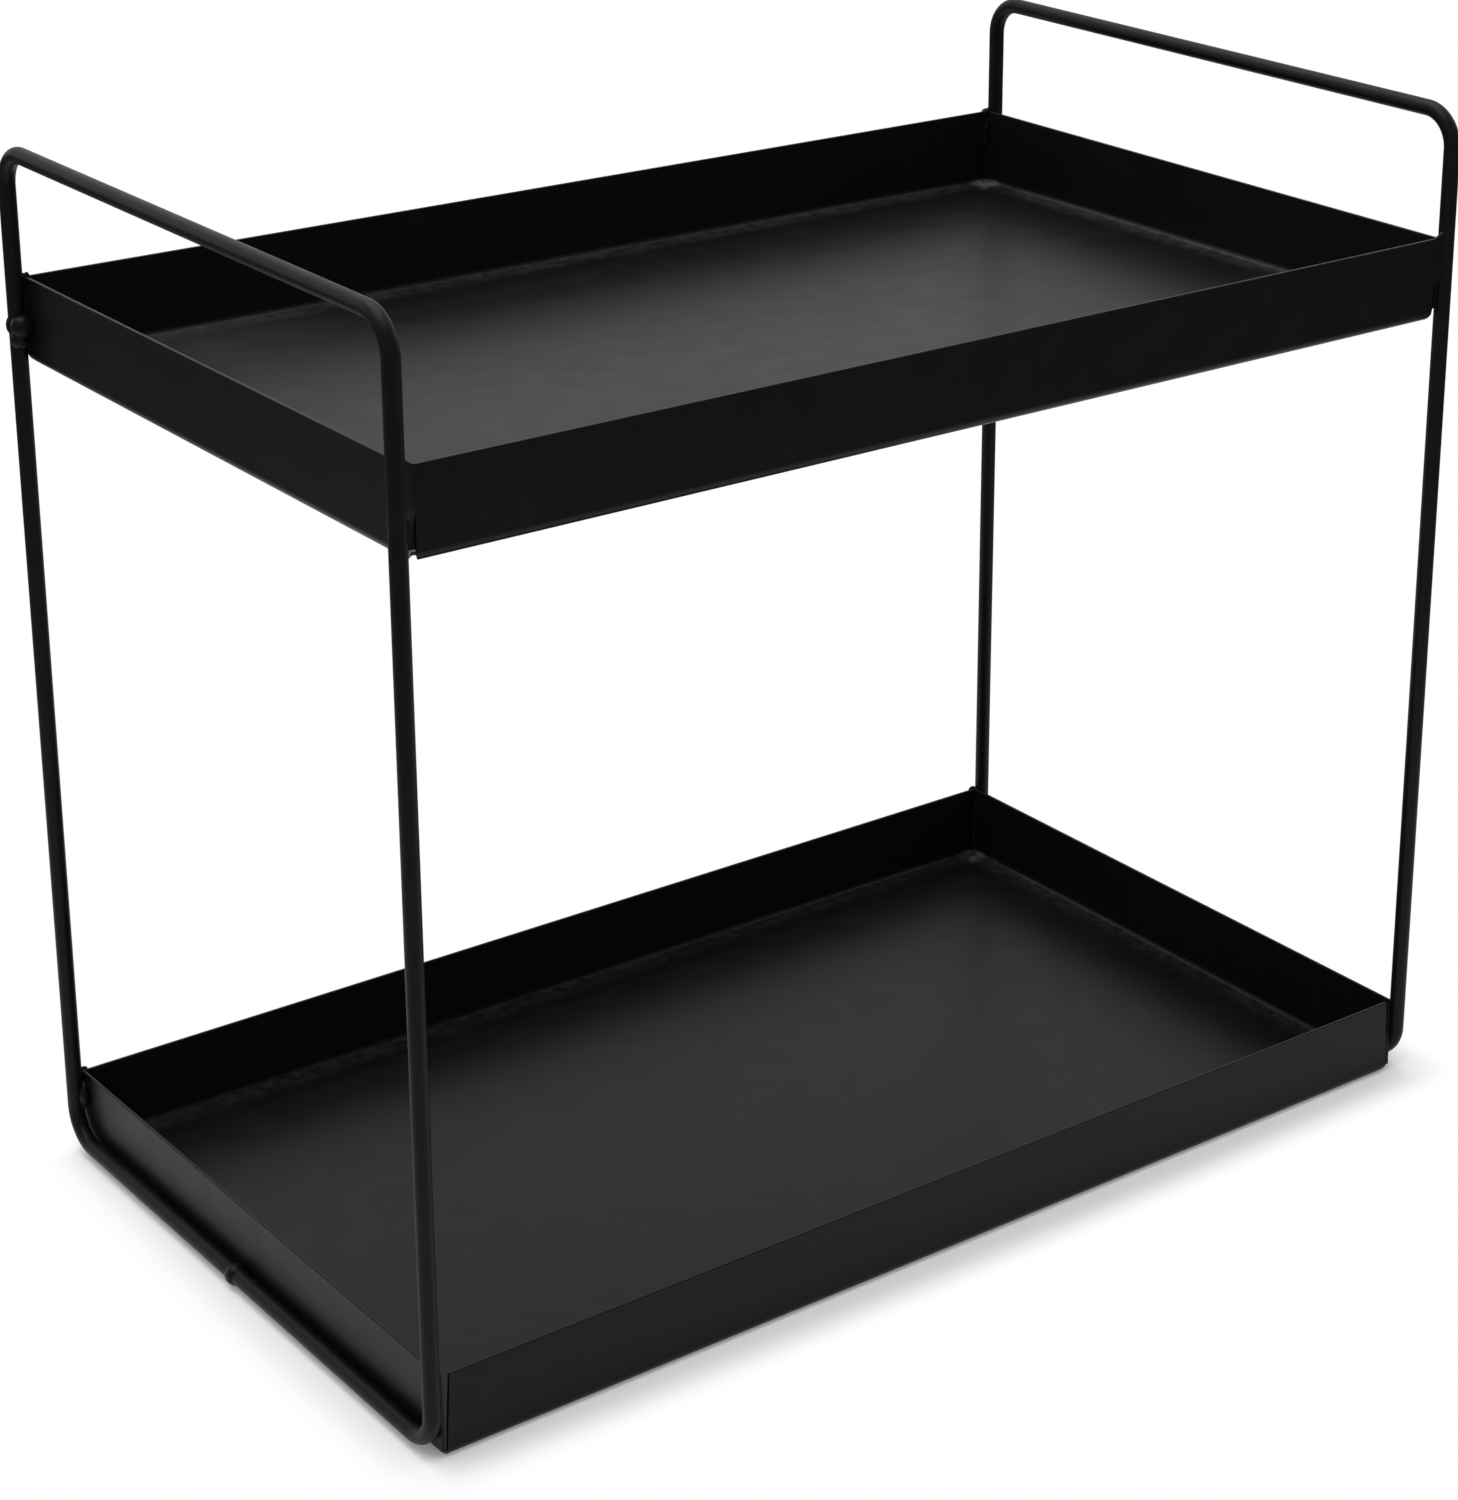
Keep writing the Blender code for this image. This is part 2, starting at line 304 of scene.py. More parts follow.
def painted_light_and_pale_corners(nodes, links, place):
    """Where the coat is painted paler: a patchy band along the folds, a painted highlight where
    the folds catch the light, pale spots in the floor's corners, and a haze of painted light.
    """
    sizes, finish = bpy.context.scene.rack_sizes, bpy.context.scene.rack_finish
    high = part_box("lower_tray")[1]
    bend = sizes.sheet + sizes.fold
    past = split(nodes, links, past_box(nodes, links, place, high.x - bend, high.y - bend))
    nearer = compute(nodes, links, "MAXIMUM", past["X"], past["Y"])
    further = compute(nodes, links, "MINIMUM", past["X"], past["Y"])
    # Painted highlight along the folds, where the bent sheet catches the light
    rise = ramp(nodes, links, nearer, -finish.band_reach, 0, 0, finish.band_highlight)
    fall = ramp(nodes, links, nearer, sizes.fold / 2, sizes.fold, 1, 0)
    band = compute(nodes, links, "MULTIPLY", rise, fall)
    patchy = patches(nodes, links, place, finish.patch_size, PATCH_DETAIL)
    patchy = ramp(nodes, links, patchy, *PATCH_LEVELS, *PATCH_STRENGTHS)
    band = compute(nodes, links, "MULTIPLY", band, patchy)
    # A paler spot painted into each floor's corner
    corner = ramp(nodes, links, further, -finish.pale_corner_reach, 0, 0, finish.pale_corner_level)
    corner = compute(nodes, links, "MULTIPLY", corner, fall)
    corner = compute(nodes, links, "MULTIPLY", corner, patchy)
    band = compute(nodes, links, "MAXIMUM", band, corner)
    return compute(nodes, links, "ADD", band, haze(nodes, links, place, fall))


def haze(nodes, links, place, on_floor):
    """Painted light: a pale haze on the upper floor towards its back left corner, in place of brighter
    light there.
    """
    finish = bpy.context.scene.rack_finish
    low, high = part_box("upper_tray")
    axes = split(nodes, links, place)
    start, end = (low.x + share * finish.haze_reach for share in HAZE_FADE_ALONG)
    along = ramp(nodes, links, axes["X"], start, end, finish.haze_light, 0)
    start, end = (high.y - share * finish.haze_reach for share in HAZE_FADE_BACK)
    back = ramp(nodes, links, axes["Y"], start, end, 0, 1)
    # This share is painted light on the floor, not wear
    wear = compute(nodes, links, "MULTIPLY", along, back)
    upper = compute(nodes, links, "GREATER_THAN", axes["Z"], low.z)
    wear = compute(nodes, links, "MULTIPLY", wear, upper)
    return compute(nodes, links, "MULTIPLY", wear, on_floor)


def coat_material(name, roughness, folded=False):
    """Satin black powder coat: a very fine grain, clouds of duller and paler coat, and on folded
    sheet a painted highlight along the folds, pale corner spots and a haze of painted light."""
    material = bpy.data.materials.get(name)
    if material:
        return material
    finish = bpy.context.scene.rack_finish
    material = bpy.data.materials.new(name)
    material.use_nodes = True
    material.diffuse_color = (*finish.paint, 1)
    nodes, links = material.node_tree.nodes, material.node_tree.links
    shader = nodes["Principled BSDF"]
    shader.inputs["Specular IOR Level"].default_value = finish.sheen_level
    place = nodes.new("ShaderNodeTexCoord").outputs["Object"]

    bump = nodes.new("ShaderNodeBump")
    bump.inputs["Strength"].default_value = finish.grain_strength
    bump.inputs["Distance"].default_value = finish.grain_depth
    links.new(patches(nodes, links, place, finish.grain_size, GRAIN_DETAIL), bump.inputs["Height"])
    links.new(bump.outputs["Normal"], shader.inputs["Normal"])

    clouds = patches(nodes, links, place, finish.cloud_size, CLOUD_DETAIL)
    spread = finish.cloud_roughness
    dull = ramp(nodes, links, clouds, *DULL_LEVELS, roughness - spread, roughness + spread)
    links.new(dull, shader.inputs["Roughness"])
    pale_and_painted_light = ramp(nodes, links, clouds, *WORN_LEVELS, 0, finish.cloud_wear)
    # On folded sheet the paler share also carries painted light: the fold highlight and the haze
    if folded:
        pale_and_painted_light = compute(nodes, links, "ADD", pale_and_painted_light, painted_light_and_pale_corners(nodes, links, place))
    colour = nodes.new("ShaderNodeMix")
    colour.data_type = "RGBA"
    links.new(pale_and_painted_light, colour.inputs["Factor"])
    colour.inputs[MIX_FIRST].default_value = (*finish.paint, 1)
    colour.inputs[MIX_SECOND].default_value = (*finish.pale_paint_and_painted_light, 1)
    links.new(colour.outputs[MIX_RESULT], shader.inputs["Base Color"])
    return material


def sheet_paint():
    roughness = bpy.context.scene.rack_finish.sheet_roughness
    return coat_material("sheet_powder_coat", roughness, folded=True)


def wire_paint():
    return coat_material("wire_powder_coat", bpy.context.scene.rack_finish.wire_roughness)


def weld_paint():
    return coat_material("weld_powder_coat", bpy.context.scene.rack_finish.weld_roughness)


# Sizes and looks that a user may change


class RackSizes(bpy.types.PropertyGroup):
    sheet: FloatProperty(
        name="Sheet", description="Thickness of the trays' sheet", default=0.0012, unit="LENGTH"
    )
    fold: FloatProperty(
        name="Fold", description="Inner radius of the folds along the trays' floor",
        default=0.0025, unit="LENGTH",
    )
    rim_round: FloatProperty(
        name="Rim round", description="Rounding of the sheet's edges along the rim",
        default=0.0003, unit="LENGTH",
    )
    upper_relief: FloatProperty(
        name="Upper relief", description="Radius of the reliefs at the upper floor's front corners",
        default=0.0036, unit="LENGTH",
    )
    upper_slot: FloatProperty(
        name="Upper slot", description="Length of the slots that run on from the upper reliefs",
        default=0.009, unit="LENGTH",
    )
    slot_width: FloatProperty(
        name="Slot width", description="Width of the slots in the upper floor",
        default=0.003, unit="LENGTH",
    )
    slot_height: FloatProperty(
        name="Slot height", description="How far the slots reach up the walls",
        default=0.0046, unit="LENGTH",
    )
    lower_relief: FloatProperty(
        name="Lower relief", description="Radius of the reliefs at the lower floor's front corners",
        default=0.003, unit="LENGTH",
    )
    upper_long_wall_gaps: FloatVectorProperty(
        name="Upper long wall gaps", description="Gap at the front wall's ends, at rim and fold",
        size=2, default=(0.0020, 0.0013), unit="LENGTH",
    )
    upper_end_wall_gaps: FloatVectorProperty(
        name="Upper end wall gaps", description="Gap at the end walls' front edges, at rim and fold",
        size=2, default=(0.0003, 0.0004), unit="LENGTH",
    )
    lower_long_wall_gaps: FloatVectorProperty(
        name="Lower long wall gaps", description="Gap at the front wall's ends, at rim and fold",
        size=2, default=(0.0024, 0.0004), unit="LENGTH",
    )
    lower_end_wall_gaps: FloatVectorProperty(
        name="Lower end wall gaps", description="Gap at the end walls' front edges, at rim and fold",
        size=2, default=(0.0012, 0.0003), unit="LENGTH",
    )
    back_gap: FloatProperty(
        name="Back gap", description="Gap at the back walls' ends on both trays",
        default=0.0004, unit="LENGTH",
    )
    bend: FloatProperty(
        name="Bend", description="Radius of the wire's bends, to its axis",
        default=0.013, unit="LENGTH",
    )
    overrun: FloatProperty(
        name="Overrun", description="How far a cutter passes through what it cuts",
        default=0.002, unit="LENGTH",
    )
    inner_margin: FloatProperty(
        name="Inner margin", description="How far a cutter through an end wall starts inside it",
        default=0.0002, unit="LENGTH",
    )
    weld_sink: FloatProperty(
        name="Weld sink", description="How far a weld reaches into the wall that it joins",
        default=0.0008, unit="LENGTH",
    )
    weld_grain: FloatProperty(
        name="Weld grain", description="Fineness at which a weld's coins run together",
        default=0.00028, unit="LENGTH",
    )
    fillet_start: FloatProperty(
        name="Fillet start", description="Share of a long fillet's height that stays sunk in the slot",
        default=0.25, subtype="FACTOR",
    )
    fillet_rise: FloatProperty(
        name="Fillet rise", description="How far a long fillet climbs the post, as a share of its room",
        default=0.5, subtype="FACTOR",
    )
    fillet_foot: FloatProperty(
        name="Fillet foot", description="Share of a long fillet's height over which its foot fades",
        default=0.22, subtype="FACTOR",
    )
    fillet_drop: FloatProperty(
        name="Fillet drop", description="How far a long fillet's sunk foot runs below the weld",
        default=0.0018, unit="LENGTH",
    )
    fillet_root: FloatProperty(
        name="Fillet root", description="Depth of the metal left in the slot, as a share of the fillet",
        default=0.06, subtype="FACTOR",
    )
    fillet_run_out: FloatProperty(
        name="Fillet run-out", description="How far a fillet's far edge dips under the wall's face",
        default=0.1, subtype="FACTOR",
    )
    fillet_peak: FloatProperty(
        name="Fillet peak", description="How far a long fillet stands above the rim beside the post",
        default=0.0034, unit="LENGTH",
    )
    fillet_cuts: IntProperty(name="Fillet cuts", description="Cuts across a long fillet", default=23)
    collar_reach: FloatProperty(
        name="Collar reach", description="How far a butt weld fades out along the wire, each way",
        default=0.0042, unit="LENGTH",
    )
    fold_steps: IntProperty(name="Fold steps", description="Faces across a fold", default=12)
    bend_steps: IntProperty(name="Bend steps", description="Rings round a bend", default=24)
    wire_sides: IntProperty(name="Wire sides", description="Sides of the wire", default=32)


class RackFinish(bpy.types.PropertyGroup):
    paint: FloatVectorProperty(
        name="Paint", description="Colour of the powder coat", subtype="COLOR",
        default=(0.0038, 0.0039, 0.0039), min=0, max=1,
    )
    # Pale coat for the random clouds, and for the painted highlight and painted light on the floors
    pale_paint_and_painted_light: FloatVectorProperty(
        name="Rubbed paint", description="Colour of the coat where it is rubbed pale", subtype="COLOR",
        default=(0.10, 0.102, 0.101), min=0, max=1,
    )
    sheen_level: FloatProperty(
        name="Sheen level", description="Specular level of the coat", default=0.12, subtype="FACTOR"
    )
    sheet_roughness: FloatProperty(
        name="Sheet roughness", description="Roughness on the trays", default=0.36, subtype="FACTOR"
    )
    wire_roughness: FloatProperty(
        name="Wire roughness", description="Roughness on the wire", default=0.42, subtype="FACTOR"
    )
    weld_roughness: FloatProperty(
        name="Weld roughness", description="Roughness on the welds", default=0.38, subtype="FACTOR"
    )
    cloud_size: FloatProperty(
        name="Cloud size", description="Size of the coat's duller and paler patches",
        default=0.014, unit="LENGTH",
    )
    cloud_roughness: FloatProperty(
        name="Cloud roughness", description="How much the roughness varies, each way",
        default=0.02, subtype="FACTOR",
    )
    cloud_wear: FloatProperty(
        name="Cloud wear", description="Most rubbed paint in the patches",
        default=0.008, subtype="FACTOR",
    )
    patch_size: FloatProperty(
        name="Patch size", description="Size of the patches in the pale bands",
        default=0.004, unit="LENGTH",
    )
    band_reach: FloatProperty(
        name="Band reach", description="How far onto the floor a fold's pale band reaches",
        default=0.009, unit="LENGTH",
    )
    # Painted highlight: how pale the band along the folds is painted, where the folds catch the light
    band_highlight: FloatProperty(
        name="Band wear", description="Most rubbed paint along the folds",
        default=0.14, subtype="FACTOR",
    )
    # A paler spot painted into each floor's corner: its reach, and how pale it is
    pale_corner_reach: FloatProperty(
        name="Smudge reach", description="Reach of the pale smudge in a floor's corner",
        default=0.011, unit="LENGTH",
    )
    pale_corner_level: FloatProperty(
        name="Smudge wear", description="Most rubbed paint in a floor's corner",
        default=1, subtype="FACTOR",
    )
    haze_reach: FloatProperty(
        name="Haze reach", description="Reach of the haze at the upper floor's back left corner",
        default=0.095, unit="LENGTH",
    )
    # Painted light: how pale the haze is painted
    haze_light: FloatProperty(
        name="Haze wear", description="Most rubbed paint in the haze",
        default=0.15, subtype="FACTOR",
    )
    grain_size: FloatProperty(
        name="Grain size", description="Size of the coat's grain", default=0.0006, unit="LENGTH"
    )
    grain_depth: FloatProperty(
        name="Grain depth", description="Depth of the coat's grain", default=0.00002, unit="LENGTH"
    )
    grain_strength: FloatProperty(
        name="Grain strength", description="How strongly the grain shows",
        default=0.35, subtype="FACTOR",
    )


class RackStage(bpy.types.PropertyGroup):
    lens: FloatProperty(name="Lens", description="Focal length in millimetres", default=84.40)
    azimuth: FloatProperty(
        name="Azimuth", description="Turn of the camera round the rack, from the front to the left",
        default=math.radians(37.88), subtype="ANGLE",
    )
    pitch: FloatProperty(
        name="Pitch", description="How far the camera looks down",
        default=math.radians(19.33), subtype="ANGLE",
    )
    roll: FloatProperty(
        name="Roll", description="Turn of the camera about its own axis",
        default=math.radians(0.397), subtype="ANGLE",
    )
    distance: FloatProperty(
        name="Distance", description="From the camera to the point it looks at",
        default=1.3091, unit="LENGTH",
    )
    aim: FloatVectorProperty(
        name="Aim", description="Point that the camera looks at", subtype="XYZ", unit="LENGTH",
        default=(0.0481, -0.0014, 0.2345),
    )
    shift: FloatVectorProperty(
        name="Shift", description="Lens shift across and up", size=2, default=(-0.085, -0.16)
    )
    key_power: FloatProperty(
        name="Key power", description="Power of the large lamp overhead in watts", default=42
    )
    lamp_place: FloatVectorProperty(
        name="Lamp place", description="Middle of the large lamp", subtype="XYZ", unit="LENGTH",
        default=(-0.3, 0.3, 2.2),
    )
    lamp_size: FloatVectorProperty(
        name="Lamp size", description="Width and depth of the large lamp", size=2,
        default=(2.4, 1.8), unit="LENGTH",
    )
    room_light: FloatProperty(
        name="Room light", description="Strength of the room's even light", default=0.85
    )
    flag: FloatProperty(
        name="Flag", description="What reflections see on the camera's side", default=0.25
    )
    room_turn_from: FloatProperty(
        name="Room turn from", description="Where the room starts to brighten, as a cosine",
        default=-0.2,
    )
    room_turn_to: FloatProperty(
        name="Room turn to", description="Where the room is brightest, as a cosine", default=0.6
    )
    backdrop: FloatVectorProperty(
        name="Backdrop", description="Direction of the bright side of the room",
        subtype="XYZ", default=(0.5, 0.8, 0.33),
    )
    paper: FloatProperty(
        name="Paper", description="Grey of the table's white top", default=0.85, subtype="FACTOR"
    )
    # Painted shade: glow left at the rack's foot, where the table is painted darker besides its real
    # shadow
    contact_white: FloatProperty(
        name="Contact white", description="How white the table stays at the rack's foot",
        default=0.12, subtype="FACTOR",
    )
    shadow_reach: FloatProperty(
        name="Shadow reach", description="How far out the table keeps the rack's shadow",
        default=0.019, unit="LENGTH",
    )
    far_floor: FloatProperty(
        name="Far floor", description="Grey that reflections see on the table further out",
        default=0.08, subtype="FACTOR",
    )
    pool_inner: FloatProperty(
        name="Pool inner", description="Where the table starts to dim", default=0.35, unit="LENGTH"
    )
    pool_outer: FloatProperty(
        name="Pool outer", description="Where the table is dim", default=0.95, unit="LENGTH"
    )


# Trays


def tapered_cutter(name, size, middle, axis, start, face, gaps):
    """A block that runs inwards along the axis from its start, past a wall's face by one gap at the
    rim and by another at the fold."""
    block = add_block(name, size, middle)
    direction = math.copysign(1, middle[axis])
    at_rim, at_fold = gaps
    for vert in block.data.vertices:
        gap = at_rim if vert.co.z > middle[2] else at_fold
        outer = direction * (vert.co[axis] - middle[axis]) > 0
        vert.co[axis] = direction * (start if outer else face - gap)
    return block


def corner_cutters(tray_name, gaps):
    """The cutters that part the walls at a tray's corners."""
    sizes = bpy.context.scene.rack_sizes
    low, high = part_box(tray_name)
    middle_z = (low.z + high.z) / 2
    height = high.z - low.z + 2 * sizes.overrun
    inner_x = high.x - sizes.sheet
    long_wall = (sizes.sheet, sizes.sheet + 2 * sizes.overrun, height)
    reach = sizes.sheet + sizes.overrun + sizes.inner_margin
    end_wall = (reach, sizes.overrun, height)
    end_x = high.x + sizes.overrun - reach / 2
    cutters = []
    for side in SIDES.values():
        for end_name, end in ENDS.items():
            middle = (side * inner_x, end * (high.y - sizes.sheet / 2), middle_z)
            cutters.append(
                tapered_cutter("slit", long_wall, middle, X_AXIS, inner_x, inner_x, gaps[end_name])
            )
        middle = (side * end_x, low.y, middle_z)
        outside = high.y + sizes.overrun
        cutters.append(
            tapered_cutter("slit", end_wall, middle, Y_AXIS, outside, high.y, gaps["end_wall"])
        )
    return cutters


def relief_cutters(tray_name, radius, slot):
    """The reliefs at the floor's front corners: round holes in the flat sheet, and on a tray with
    slots a narrow cut that runs on from each, half way between the walls."""
    sizes = bpy.context.scene.rack_sizes
    low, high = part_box(tray_name)
    cutters = []
    for side in SIDES.values():
        corner = (side * high.x, low.y, low.z)
        cutters.append(add_ball(tray_name + "_relief", (radius,) * 3, corner, LARGE_BALL))
        if slot:
            size = (2 * slot, sizes.slot_width, 2 * sizes.slot_height)
            block = add_block(tray_name + "_slot", size, corner, -side * math.pi / 4)
            rounding = SLOT_ROUND_SHARE * sizes.slot_width
            apply_modifier(block, "BEVEL", width=rounding, segments=SLOT_STEPS)
            cutters.append(block)
    return cutters


def folded_tray(tray_name, gaps, relief, slot):
    """An open box with rounded folds, thickened to sheet, and then cut at its corners."""
    sizes = bpy.context.scene.rack_sizes
    low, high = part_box(tray_name)
    tray = add_block(tray_name + "_sheet", high - low, (low + high) / 2)
    level = (low.z + high.z) / 2

    pick(tray, "FACE", lambda ends: all(co.z > level for co in ends))
    bpy.ops.mesh.delete(type="ONLY_FACE")
    end_edit()
    pick(tray, "EDGE", lambda ends: all(co.z < level for co in ends))
    bpy.ops.mesh.bevel(
        offset=sizes.fold + sizes.sheet, segments=sizes.fold_steps, profile=0.5, affect="EDGES"
    )
    end_edit()
    apply_modifier(
        tray, "SOLIDIFY", thickness=sizes.sheet, offset=-1, use_even_offset=True, use_rim=True
    )
    pick(
        tray, "EDGE",
        lambda ends: all(co.z > high.z - sizes.rim_round for co in ends)
        and (ends[0] - ends[1]).length > 2 * sizes.sheet,
    )
    bpy.ops.mesh.bevel(offset=sizes.rim_round, segments=RIM_STEPS, profile=0.5, affect="EDGES")
    end_edit()
    for cutter in corner_cutters(tray_name, gaps) + relief_cutters(tray_name, relief, slot):
        cut_away(tray, cutter)
    finish_piece(tray, sheet_paint(), [tray_name], STEEL_CREASE)
    apply_modifier(tray, "WEIGHTED_NORMAL", keep_sharp=True)


class RACK_OT_trays(bpy.types.Operator):
    """Builds both trays as folded sheet, with slits and reliefs at their corners"""

    bl_idname = "rack.trays"
    bl_label = "Folded trays"

    def execute(self, context):
        sizes = context.scene.rack_sizes
        back = (sizes.back_gap, sizes.back_gap)
        lower_gaps = {
            "front": sizes.lower_long_wall_gaps, "end_wall": sizes.lower_end_wall_gaps, "back": back
        }
        upper_gaps = {
            "front": sizes.upper_long_wall_gaps, "end_wall": sizes.upper_end_wall_gaps, "back": back
        }
        folded_tray("lower_tray", lower_gaps, sizes.lower_relief, 0)
        folded_tray("upper_tray", upper_gaps, sizes.upper_relief, sizes.upper_slot)
        return {"FINISHED"}


# Wire loops


def wire_loop(side_name):
    """A ring run round the loop's four straights and four bends, back to its start."""
    sizes = bpy.context.scene.rack_sizes
    low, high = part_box(side_name + "_wire_loop")
    radius = (high.x - low.x) / 2
    x = (low.x + high.x) / 2
    post_y, top, foot = high.y - radius, high.z - radius, low.z + radius
    height = top - foot - 2 * sizes.bend
    width = 2 * (post_y - sizes.bend)
    bpy.ops.mesh.primitive_circle_add(
        vertices=sizes.wire_sides, radius=radius, location=(x, post_y, foot + sizes.bend)
    )
    loop = bpy.context.active_object
    loop.name = side_name + "_wire"
    keep_place_in_mesh(loop)
    bpy.ops.object.mode_set(mode="EDIT")
    bpy.ops.mesh.select_all(action="SELECT")
    runs = (
        ((0, 0, height), (x, post_y - sizes.bend, top - sizes.bend)),
        ((0, -width, 0), (x, sizes.bend - post_y, top - sizes.bend)),
        ((0, 0, -height), (x, sizes.bend - post_y, foot + sizes.bend)),
        ((0, width, 0), (x, post_y - sizes.bend, foot + sizes.bend)),
    )
    for run, bend_middle in runs:
        bpy.ops.mesh.extrude_region_move(TRANSFORM_OT_translate={"value": run})
        bpy.ops.mesh.spin(
            steps=sizes.bend_steps, angle=math.pi / 2, center=bend_middle, axis=(-1, 0, 0)
        )
    bpy.ops.mesh.select_all(action="SELECT")
    bpy.ops.mesh.remove_doubles(threshold=MERGE_SHARE * radius)
    bpy.ops.mesh.normals_make_consistent(inside=False)
    end_edit()
    finish_piece(loop, wire_paint(), [side_name + "_wire_loop"], STEEL_CREASE)


class RACK_OT_wire_loops(bpy.types.Operator):
    """Builds the left and right loops of bent wire"""

    bl_idname = "rack.wire_loops"
    bl_label = "Wire loops"

    def execute(self, context):
        for side_name in SIDES:
            wire_loop(side_name)
        return {"FINISHED"}


# Welds


def weld_box(node, tray_name, wall_axis):
    """The box of a weld's solid, drawn a little into the wall that it joins so that no gap shows."""
    low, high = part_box(node)
    tray_low, tray_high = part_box(tray_name)
    sink = bpy.context.scene.rack_sizes.weld_sink
    if low[wall_axis] > 0:
        low[wall_axis] = tray_high[wall_axis] - sink
    else:
        high[wall_axis] = tray_low[wall_axis] + sink
    return low, high


def run_together(coins, name, smoothing):
    """Melts overlapping coins of weld metal into one bead."""
    bead = join_pieces(coins, name)
    grain = bpy.context.scene.rack_sizes.weld_grain
    apply_modifier(bead, "REMESH", mode="VOXEL", voxel_size=grain)
    apply_modifier(bead, "SMOOTH", factor=0.5, iterations=smoothing)
    return bead


def inner_spots(node, tray_name, outward):
    """Small spots of weld metal that came through to the inside of a corner."""
    sheet = bpy.context.scene.rack_sizes.sheet
    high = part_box(tray_name)[1]
    spots = []
    for depth, radius, along in INNER_SPOTS:
        x, y = outward.x * (high.x - sheet - along), outward.y * (high.y - sheet)
        spots.append(add_ball(node + "_spot", radius * SPOT_SHARES, (x, y, high.z - depth), COIN_BALL))
    return spots


def stacked_bead(node, tray_name, wall_axis, kind, spotted=False):
    """Coins laid over each other up the weld, as a torch leaves them."""
    low, high = weld_box(node, tray_name, wall_axis)
    middle, half = (low + high) / 2, (high - low) / 2
    thickness = half.z / kind.coins * kind.overlap
    outward = math.copysign(1, middle.y)
    coins = []
    for number in range(kind.coins):
        place = 2 * number / (kind.coins - 1) - 1
        swell = math.sqrt(1 - kind.taper * place * place)
        shift = Vector((0, 0, place * (half.z - thickness)))
        size = (half.x * swell, half.y * swell, thickness)
        coins.append(add_ball(node + "_coin", size, middle + shift, COIN_BALL, outward * kind.lean))
    if spotted:
        coins += inner_spots(node, tray_name, Vector((math.copysign(1, middle.x), outward)))
    bead = run_together(coins, node + "_bead", kind.smoothing)
    finish_piece(bead, weld_paint(), [node], WELD_CREASE)


def lumpy_weld(node, side_name):
    """A heavy weld of a few round nodules that have run into each other."""
    low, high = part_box(node)
    wire_low, wire_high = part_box(side_name + "_wire_loop")
    radius = (wire_high.x - wire_low.x) / 2
    axis = Vector((wire_low.x + radius, wire_high.y - radius, (low.z + high.z) / 2))
    outward = Vector((SIDES[side_name], 1, 1))
    nodules = [
        add_ball(node + "_nodule", half, axis + Vector(place) * outward, LARGE_BALL)
        for place, half in NODULES
    ]
    weld = run_together(nodules, node + "_lump", NODULE_SMOOTHING)
    finish_piece(weld, weld_paint(), [node], WELD_CREASE)


def smooth_fillet(node, tray_name):
    """A long hollow fillet: full against the post, where it peaks above the rim, run out flush with
    the long wall at its far edge, and sunk into the slot between the walls at its foot."""
    sizes = bpy.context.scene.rack_sizes
    low, high = weld_box(node, tray_name, Y_AXIS)
    middle = (low + high) / 2
    fillet = add_block(node + "_fillet", high - low, middle)
    pick(fillet, "FACE", lambda ends: True)
    bpy.ops.mesh.subdivide(number_cuts=sizes.fillet_cuts)
    end_edit()
    wall_y = low.y if middle.y > 0 else high.y
    post_x = high.x if middle.x > 0 else low.x
    face = sizes.weld_sink / (high.y - low.y)
    for vert in fillet.data.vertices:
        across = abs(vert.co.x - post_x) / (high.x - low.x)
        up = (vert.co.z - low.z) / (high.z - low.z)
        hollow = sizes.fillet_rise * (1 - across) ** HOLLOW_POWER
        run_out = sizes.fillet_run_out * across ** RUN_OUT_POWER
        foot = smooth_step((up - sizes.fillet_start) / sizes.fillet_foot)
        fullness = sizes.fillet_root + (1 - sizes.fillet_root) * foot
        depth = fullness * (face * (1 - run_out) + (1 - face) * hollow)
        peak = sizes.fillet_peak * (1 - across) ** PEAK_POWER
        vert.co.y = wall_y + (vert.co.y - wall_y) * depth
        vert.co.z += up * peak - (1 - up) * sizes.fillet_drop
    finish_piece(fillet, weld_paint(), [node], WELD_CREASE)


def smooth_step(value):
    """0 below nought, 1 above one, and an even S between."""
    value = min(max(value, 0), 1)
    return value * value * (3 - 2 * value)


class RACK_OT_post_welds(bpy.types.Operator):
    """Builds the welds between the posts and the trays' end walls"""

    bl_idname = "rack.post_welds"
    bl_label = "Post welds"

    def execute(self, context):
        for side_name in SIDES:
            for tier in TIERS:
                for end_name in ENDS:
                    node = f"{tier}_{side_name}_{end_name}_weld"
                    if (tier, end_name) == ("upper", "back"):
                        lumpy_weld(node, side_name)
                    else:
                        stacked_bead(node, tier + "_tray", X_AXIS, POST_BEAD)
        return {"FINISHED"}


class RACK_OT_corner_welds(bpy.types.Operator):
    """Builds the welds between the posts and the corners of the trays' long walls"""

    bl_idname = "rack.corner_welds"
    bl_label = "Corner welds"

    def execute(self, context):
        for side_name in SIDES:
            smooth_fillet(f"upper_{side_name}_front_corner_weld", "upper_tray")
            for tier in TIERS:
                node = f"{tier}_{side_name}_back_corner_weld"
                stacked_bead(node, tier + "_tray", Y_AXIS, CORNER_BEAD, spotted=tier == "upper")
        return {"FINISHED"}


